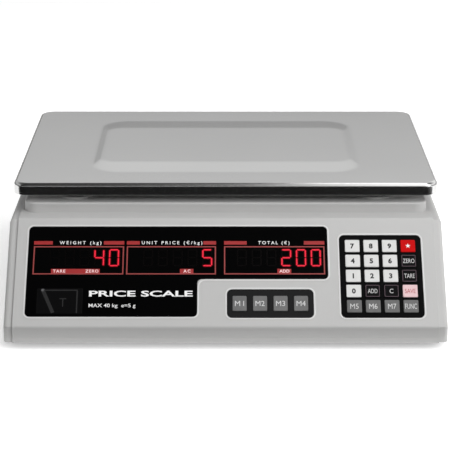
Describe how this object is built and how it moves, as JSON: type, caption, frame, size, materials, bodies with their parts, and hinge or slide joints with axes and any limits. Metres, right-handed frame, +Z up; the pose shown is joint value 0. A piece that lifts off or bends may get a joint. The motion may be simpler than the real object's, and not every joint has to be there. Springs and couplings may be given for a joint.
{
  "type": "label printing scale",
  "caption": "Low wedge-shaped counter scale: flat stainless tray over a pale plastic body, black stepped display and two banks of keys on the sloping front.",
  "frame": {"origin": "floor under the middle of the body, at the feet's undersides", "axes": "+X to the user's right, +Y from the keypad side to the customer side, +Z up"},
  "size_m": [0.3496, 0.33, 0.113],
  "materials": {
    "housing_abs": "fine satin grain",
    "base_abs": "fine satin grain",
    "tray_stainless": "satin rolled top, polished rim",
    "lens_black": "glossy",
    "window_smoked": "glossy smoked",
    "led_body": "matt",
    "circuit_board": "solder resist",
    "component_plastic": "matt",
    "bezel_black": "satin",
    "bezel_grey": "satin",
    "battery_case": "matt",
    "switch_black": "satin",
    "rocker_red": "satin",
    "contact_brass": "nickel plated",
    "transformer_iron": "lacquered laminations",
    "vial_clear": "clear",
    "screw_steel": "zinc plated",
    "bridge_steel": "galvanised",
    "cell_aluminium": "machined",
    "carrier_aluminium": "die cast",
    "pad_rubber": "matt",
    "foot_rubber": "matt",
    "key_white": "satin",
    "key_black": "satin",
    "key_grey": "satin",
    "key_red": "satin",
    "key_pink": "satin"
  },
  "bodies": {
    "scale_body": {"top_housing": "housing_abs", "base_pan": "base_abs", "display_lens": "lens_black", "level_window": "window_smoked", "front_led_modules": "led_body", "rear_led_modules": "led_body", "rear_display_lens": "lens_black", "front_display_board": "circuit_board", "rear_display_board": "circuit_board", "key_boards": "circuit_board", "main_board": "circuit_board", "main_board_components": "component_plastic", "keypad_bezel": "bezel_black", "memory_key_bezel": "bezel_grey", "battery": "battery_case", "power_switch_body": "switch_black", "mains_inlet": "switch_black", "inlet_contacts": "contact_brass", "transformer": "transformer_iron", "level_bracket": "component_plastic", "level_vial": "vial_clear", "housing_screws": "screw_steel", "chassis_bridge": "bridge_steel", "load_cell": "cell_aluminium", "load_cell_bolts": "screw_steel", "overload_stop": "screw_steel"},
    "carrier": {"pan_carrier": "carrier_aluminium", "carrier_bolts": "screw_steel", "support_pads": "pad_rubber"},
    "tray": {"weighing_tray": "tray_stainless"},
    "battery_door": {"battery_door": "base_abs"},
    "rocker": {"power_switch_rocker": "rocker_red"},
    "foot_front_left": {"foot_front_left": "foot_rubber"},
    "foot_front_right": {"foot_front_right": "foot_rubber"},
    "foot_rear_left": {"foot_rear_left": "foot_rubber"},
    "foot_rear_right": {"foot_rear_right": "foot_rubber"},
    "key_7": {"key_7": "key_white"},
    "key_8": {"key_8": "key_white"},
    "key_9": {"key_9": "key_white"},
    "key_star": {"key_star": "key_red"},
    "key_4": {"key_4": "key_white"},
    "key_5": {"key_5": "key_white"},
    "key_6": {"key_6": "key_white"},
    "key_zero": {"key_zero": "key_black"},
    "key_1": {"key_1": "key_white"},
    "key_2": {"key_2": "key_white"},
    "key_3": {"key_3": "key_white"},
    "key_tare": {"key_tare": "key_black"},
    "key_0": {"key_0": "key_white"},
    "key_add": {"key_add": "key_black"},
    "key_clear": {"key_clear": "key_black"},
    "key_save": {"key_save": "key_pink"},
    "key_m5": {"key_m5": "key_grey"},
    "key_m6": {"key_m6": "key_grey"},
    "key_m7": {"key_m7": "key_grey"},
    "key_func": {"key_func": "key_grey"},
    "key_m1": {"key_m1": "key_grey"},
    "key_m2": {"key_m2": "key_grey"},
    "key_m3": {"key_m3": "key_grey"},
    "key_m4": {"key_m4": "key_grey"}
  },
  "joints": [
    {"name": "carrier_press", "type": "slide", "parent": "scale_body", "child": "carrier", "axis": [0, 0, -1], "range_m": [0, 0.0005], "stiffness_N_per_m": 80000, "springref_m": -0.0004, "deforming": ["load_cell"]},
    {"name": "tray_lift", "type": "slide", "parent": "carrier", "child": "tray", "axis": [0, 0, 1], "range_m": [0, 0.06]},
    {"name": "battery_door_slide", "type": "slide", "parent": "scale_body", "child": "battery_door", "axis": [0, 0, -1], "range_m": [0, 0.03]},
    {"name": "power_rocker", "type": "hinge", "parent": "scale_body", "child": "rocker", "pos_m": [0.16925, 0.1, 0.032], "axis": [0, 0, 1], "range_deg": [-12, 0]},
    {"name": "foot_front_left_turn_out", "type": "slide", "parent": "scale_body", "child": "foot_front_left", "axis": [0, 0, -1], "range_m": [0, 0.006]},
    {"name": "foot_front_right_turn_out", "type": "slide", "parent": "scale_body", "child": "foot_front_right", "axis": [0, 0, -1], "range_m": [0, 0.006]},
    {"name": "foot_rear_left_turn_out", "type": "slide", "parent": "scale_body", "child": "foot_rear_left", "axis": [0, 0, -1], "range_m": [0, 0.006]},
    {"name": "foot_rear_right_turn_out", "type": "slide", "parent": "scale_body", "child": "foot_rear_right", "axis": [0, 0, -1], "range_m": [0, 0.006]},
    {"name": "key_7_press", "type": "slide", "parent": "scale_body", "child": "key_7", "axis": [0, 0.6993, -0.7148], "range_m": [0, 0.0005], "stiffness_N_per_m": 1500, "springref_m": -0.0003},
    {"name": "key_8_press", "type": "slide", "parent": "scale_body", "child": "key_8", "axis": [0, 0.6993, -0.7148], "range_m": [0, 0.0005], "stiffness_N_per_m": 1500, "springref_m": -0.0003},
    {"name": "key_9_press", "type": "slide", "parent": "scale_body", "child": "key_9", "axis": [0, 0.6993, -0.7148], "range_m": [0, 0.0005], "stiffness_N_per_m": 1500, "springref_m": -0.0003},
    {"name": "key_star_press", "type": "slide", "parent": "scale_body", "child": "key_star", "axis": [0, 0.6993, -0.7148], "range_m": [0, 0.0005], "stiffness_N_per_m": 1500, "springref_m": -0.0003},
    {"name": "key_4_press", "type": "slide", "parent": "scale_body", "child": "key_4", "axis": [0, 0.6993, -0.7148], "range_m": [0, 0.0005], "stiffness_N_per_m": 1500, "springref_m": -0.0003},
    {"name": "key_5_press", "type": "slide", "parent": "scale_body", "child": "key_5", "axis": [0, 0.6993, -0.7148], "range_m": [0, 0.0005], "stiffness_N_per_m": 1500, "springref_m": -0.0003},
    {"name": "key_6_press", "type": "slide", "parent": "scale_body", "child": "key_6", "axis": [0, 0.6993, -0.7148], "range_m": [0, 0.0005], "stiffness_N_per_m": 1500, "springref_m": -0.0003},
    {"name": "key_zero_press", "type": "slide", "parent": "scale_body", "child": "key_zero", "axis": [0, 0.6993, -0.7148], "range_m": [0, 0.0005], "stiffness_N_per_m": 1500, "springref_m": -0.0003},
    {"name": "key_1_press", "type": "slide", "parent": "scale_body", "child": "key_1", "axis": [0, 0.6993, -0.7148], "range_m": [0, 0.0005], "stiffness_N_per_m": 1500, "springref_m": -0.0003},
    {"name": "key_2_press", "type": "slide", "parent": "scale_body", "child": "key_2", "axis": [0, 0.6993, -0.7148], "range_m": [0, 0.0005], "stiffness_N_per_m": 1500, "springref_m": -0.0003},
    {"name": "key_3_press", "type": "slide", "parent": "scale_body", "child": "key_3", "axis": [0, 0.6993, -0.7148], "range_m": [0, 0.0005], "stiffness_N_per_m": 1500, "springref_m": -0.0003},
    {"name": "key_tare_press", "type": "slide", "parent": "scale_body", "child": "key_tare", "axis": [0, 0.6993, -0.7148], "range_m": [0, 0.0005], "stiffness_N_per_m": 1500, "springref_m": -0.0003},
    {"name": "key_0_press", "type": "slide", "parent": "scale_body", "child": "key_0", "axis": [0, 0.6993, -0.7148], "range_m": [0, 0.0005], "stiffness_N_per_m": 1500, "springref_m": -0.0003},
    {"name": "key_add_press", "type": "slide", "parent": "scale_body", "child": "key_add", "axis": [0, 0.6993, -0.7148], "range_m": [0, 0.0005], "stiffness_N_per_m": 1500, "springref_m": -0.0003},
    {"name": "key_clear_press", "type": "slide", "parent": "scale_body", "child": "key_clear", "axis": [0, 0.6993, -0.7148], "range_m": [0, 0.0005], "stiffness_N_per_m": 1500, "springref_m": -0.0003},
    {"name": "key_save_press", "type": "slide", "parent": "scale_body", "child": "key_save", "axis": [0, 0.6993, -0.7148], "range_m": [0, 0.0005], "stiffness_N_per_m": 1500, "springref_m": -0.0003},
    {"name": "key_m5_press", "type": "slide", "parent": "scale_body", "child": "key_m5", "axis": [0, 0.6993, -0.7148], "range_m": [0, 0.0005], "stiffness_N_per_m": 1500, "springref_m": -0.0003},
    {"name": "key_m6_press", "type": "slide", "parent": "scale_body", "child": "key_m6", "axis": [0, 0.6993, -0.7148], "range_m": [0, 0.0005], "stiffness_N_per_m": 1500, "springref_m": -0.0003},
    {"name": "key_m7_press", "type": "slide", "parent": "scale_body", "child": "key_m7", "axis": [0, 0.6993, -0.7148], "range_m": [0, 0.0005], "stiffness_N_per_m": 1500, "springref_m": -0.0003},
    {"name": "key_func_press", "type": "slide", "parent": "scale_body", "child": "key_func", "axis": [0, 0.6993, -0.7148], "range_m": [0, 0.0005], "stiffness_N_per_m": 1500, "springref_m": -0.0003},
    {"name": "key_m1_press", "type": "slide", "parent": "scale_body", "child": "key_m1", "axis": [0, 0.6993, -0.7148], "range_m": [0, 0.0005], "stiffness_N_per_m": 1500, "springref_m": -0.0003},
    {"name": "key_m2_press", "type": "slide", "parent": "scale_body", "child": "key_m2", "axis": [0, 0.6993, -0.7148], "range_m": [0, 0.0005], "stiffness_N_per_m": 1500, "springref_m": -0.0003},
    {"name": "key_m3_press", "type": "slide", "parent": "scale_body", "child": "key_m3", "axis": [0, 0.6993, -0.7148], "range_m": [0, 0.0005], "stiffness_N_per_m": 1500, "springref_m": -0.0003},
    {"name": "key_m4_press", "type": "slide", "parent": "scale_body", "child": "key_m4", "axis": [0, 0.6993, -0.7148], "range_m": [0, 0.0005], "stiffness_N_per_m": 1500, "springref_m": -0.0003}
  ]
}
